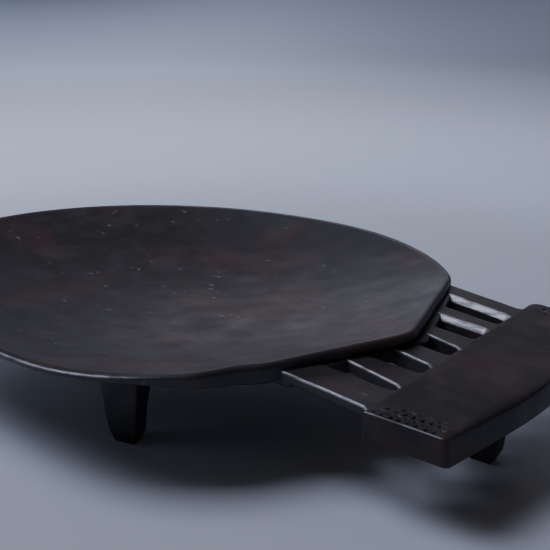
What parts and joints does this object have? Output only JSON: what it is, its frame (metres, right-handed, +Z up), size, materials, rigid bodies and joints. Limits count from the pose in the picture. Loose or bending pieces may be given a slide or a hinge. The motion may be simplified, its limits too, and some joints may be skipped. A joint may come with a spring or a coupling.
{
  "type": "footed carved wooden bowl",
  "caption": "Shallow oval hardwood dish on short carved legs, with a slatted openwork handle and a chip-carved cross grip.",
  "frame": {"origin": "on the ground plane, below the middle of the whole carving's bounding box", "axes": "+X from the dish to the handle, +Y across the handle, +Z up"},
  "size_m": [0.483, 0.3452, 0.0685],
  "materials": {
    "bowl_wood": "dark oiled and rubbed, satin",
    "bar_wood_1": "dark oiled, glossy along the worn edges",
    "bar_wood_2": "dark oiled, glossy along the worn edges",
    "bar_wood_3": "dark oiled, glossy along the worn edges",
    "bar_wood_4": "dark oiled, glossy along the worn edges",
    "bar_wood_5": "dark oiled, glossy along the worn edges",
    "bar_wood_6": "dark oiled, glossy along the worn edges",
    "grip_wood": "dark oiled and rubbed, satin",
    "bowl_leg_near_wood": "dark oiled, matt",
    "bowl_leg_far_wood": "dark oiled, matt",
    "bowl_leg_rear_wood": "dark oiled, matt",
    "grip_leg_wood": "dark oiled, matt"
  },
  "bodies": {
    "root": {"bowl": "bowl_wood", "handle_bar_1": "bar_wood_1", "handle_bar_2": "bar_wood_2", "handle_bar_3": "bar_wood_3", "handle_bar_4": "bar_wood_4", "handle_bar_5": "bar_wood_5", "handle_bar_6": "bar_wood_6", "grip": "grip_wood", "bowl_leg_near": "bowl_leg_near_wood", "bowl_leg_far": "bowl_leg_far_wood", "bowl_leg_rear": "bowl_leg_rear_wood", "grip_leg": "grip_leg_wood"}
  },
  "joints": []
}
